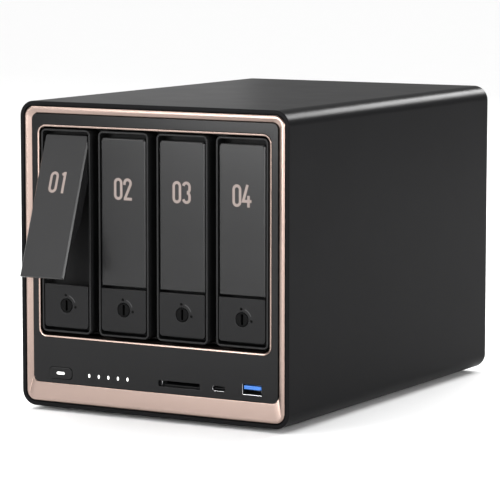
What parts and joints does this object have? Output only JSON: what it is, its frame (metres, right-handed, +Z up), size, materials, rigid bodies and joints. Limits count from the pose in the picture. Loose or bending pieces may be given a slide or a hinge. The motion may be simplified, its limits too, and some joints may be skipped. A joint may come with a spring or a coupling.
{
  "type": "nas enclosure",
  "caption": "Desktop network storage enclosure with upright drive trays behind numbered swing levers, a rose-gold front frame and a dark metal shell.",
  "frame": {"origin": "bottom centre of the whole object's box, with lever 1 standing open", "axes": "+Z up, front face towards -Y, +X to the right seen from the front"},
  "size_m": [0.178, 0.2828, 0.1805],
  "materials": {
    "shell": "anodised dark grey, fine bead-blasted satin",
    "rose_gold": "anodised rose gold, polished bevel",
    "front_panel": "dark satin gloss",
    "chassis_steel": "black powder coat",
    "black_plastic": "moulded matte black",
    "tray_plastic": "moulded fine-grained black",
    "fan_plastic": "moulded black",
    "filter_mesh": "perforated black mesh",
    "lever": "satin gunmetal paint",
    "release_button": "satin dark gunmetal",
    "lock_metal": "darkened turned metal",
    "connector_steel": "plated sheet metal",
    "light_guide": "clear lens, lit white",
    "circuit_board": "solder mask",
    "heatsink": "extruded, bare",
    "foot_rubber": "matte black"
  },
  "bodies": {
    "enclosure": {"outer_shell": "shell", "memory_cover": "shell", "front_bezel": "rose_gold", "bay_trim_ring": "rose_gold", "front_panel": "front_panel", "front_chassis_plate": "chassis_steel", "rear_panel": "chassis_steel", "cage_wall_1": "chassis_steel", "cage_wall_2": "chassis_steel", "cage_wall_3": "chassis_steel", "cage_wall_4": "chassis_steel", "cage_wall_5": "chassis_steel", "cage_base": "black_plastic", "cage_top": "black_plastic", "sd_card_slot": "black_plastic", "dc_inlet": "black_plastic", "memory_socket": "black_plastic", "sata_connector_1": "black_plastic", "sata_connector_2": "black_plastic", "sata_connector_3": "black_plastic", "sata_connector_4": "black_plastic", "fan_frame": "fan_plastic", "front_usb_c_port": "connector_steel", "front_usb_a_port": "connector_steel", "hdmi_port": "connector_steel", "rear_usb_stack": "connector_steel", "rear_usb_port": "connector_steel", "lan_jack_1": "connector_steel", "lan_jack_2": "connector_steel", "status_light_guide": "light_guide", "mainboard": "circuit_board", "backplane_board": "circuit_board", "memory_module": "circuit_board", "cpu_heatsink": "heatsink", "foot_1": "foot_rubber", "foot_2": "foot_rubber", "foot_3": "foot_rubber", "foot_4": "foot_rubber"},
    "power_button": {"power_button": "front_panel"},
    "reset_button": {"reset_button": "black_plastic"},
    "fan_rotor": {"fan_rotor": "fan_plastic"},
    "filter_cover": {"filter_cover": "filter_mesh"},
    "tray_1": {"tray_1": "tray_plastic"},
    "lever_1": {"lever_1": "lever"},
    "release_1": {"release_button_1": "release_button"},
    "lock_1": {"lock_cylinder_1": "lock_metal"},
    "tray_2": {"tray_2": "tray_plastic"},
    "lever_2": {"lever_2": "lever"},
    "release_2": {"release_button_2": "release_button"},
    "lock_2": {"lock_cylinder_2": "lock_metal"},
    "tray_3": {"tray_3": "tray_plastic"},
    "lever_3": {"lever_3": "lever"},
    "release_3": {"release_button_3": "release_button"},
    "lock_3": {"lock_cylinder_3": "lock_metal"},
    "tray_4": {"tray_4": "tray_plastic"},
    "lever_4": {"lever_4": "lever"},
    "release_4": {"release_button_4": "release_button"},
    "lock_4": {"lock_cylinder_4": "lock_metal"}
  },
  "joints": [
    {"name": "tray_1_slide", "type": "slide", "parent": "enclosure", "child": "tray_1", "axis": [0, -1, 0], "range_m": [0, 0.18]},
    {"name": "lever_1_hinge", "type": "hinge", "parent": "tray_1", "child": "lever_1", "pos_m": [-0.0585, -0.1111, 0.1555], "axis": [-1, 0, 0], "range_deg": [-19.4, 15.6]},
    {"name": "release_1_press", "type": "slide", "parent": "tray_1", "child": "release_1", "axis": [0, 1, 0], "range_m": [0, 0.002], "stiffness_N_per_m": 300},
    {"name": "lock_1_turn", "type": "hinge", "parent": "release_1", "child": "lock_1", "pos_m": [-0.0585, -0.1081, 0.0626], "axis": [0, 1, 0], "range_deg": [0, 90]},
    {"name": "tray_2_slide", "type": "slide", "parent": "enclosure", "child": "tray_2", "axis": [0, -1, 0], "range_m": [0, 0.18]},
    {"name": "lever_2_hinge", "type": "hinge", "parent": "tray_2", "child": "lever_2", "pos_m": [-0.0195, -0.1111, 0.1555], "axis": [-1, 0, 0], "range_deg": [0, 35]},
    {"name": "release_2_press", "type": "slide", "parent": "tray_2", "child": "release_2", "axis": [0, 1, 0], "range_m": [0, 0.002], "stiffness_N_per_m": 300},
    {"name": "lock_2_turn", "type": "hinge", "parent": "release_2", "child": "lock_2", "pos_m": [-0.0195, -0.1081, 0.0626], "axis": [0, 1, 0], "range_deg": [0, 90]},
    {"name": "tray_3_slide", "type": "slide", "parent": "enclosure", "child": "tray_3", "axis": [0, -1, 0], "range_m": [0, 0.18]},
    {"name": "lever_3_hinge", "type": "hinge", "parent": "tray_3", "child": "lever_3", "pos_m": [0.0195, -0.1111, 0.1555], "axis": [-1, 0, 0], "range_deg": [0, 35]},
    {"name": "release_3_press", "type": "slide", "parent": "tray_3", "child": "release_3", "axis": [0, 1, 0], "range_m": [0, 0.002], "stiffness_N_per_m": 300},
    {"name": "lock_3_turn", "type": "hinge", "parent": "release_3", "child": "lock_3", "pos_m": [0.0195, -0.1081, 0.0626], "axis": [0, 1, 0], "range_deg": [0, 90]},
    {"name": "tray_4_slide", "type": "slide", "parent": "enclosure", "child": "tray_4", "axis": [0, -1, 0], "range_m": [0, 0.18]},
    {"name": "lever_4_hinge", "type": "hinge", "parent": "tray_4", "child": "lever_4", "pos_m": [0.0585, -0.1111, 0.1555], "axis": [-1, 0, 0], "range_deg": [0, 35]},
    {"name": "release_4_press", "type": "slide", "parent": "tray_4", "child": "release_4", "axis": [0, 1, 0], "range_m": [0, 0.002], "stiffness_N_per_m": 300},
    {"name": "lock_4_turn", "type": "hinge", "parent": "release_4", "child": "lock_4", "pos_m": [0.0585, -0.1081, 0.0626], "axis": [0, 1, 0], "range_deg": [0, 90]},
    {"name": "power_press", "type": "slide", "parent": "enclosure", "child": "power_button", "axis": [0, 1, 0], "range_m": [0, 0.001], "stiffness_N_per_m": 300},
    {"name": "reset_press", "type": "slide", "parent": "enclosure", "child": "reset_button", "axis": [0, -1, 0], "range_m": [0, 0.0008], "stiffness_N_per_m": 300},
    {"name": "fan_spin", "type": "hinge", "parent": "enclosure", "child": "fan_rotor", "pos_m": [0, 0.12535, 0.106], "axis": [0, 1, 0], "continuous": true},
    {"name": "filter_lift", "type": "slide", "parent": "enclosure", "child": "filter_cover", "axis": [0, 1, 0], "range_m": [0, 0.03]}
  ]
}
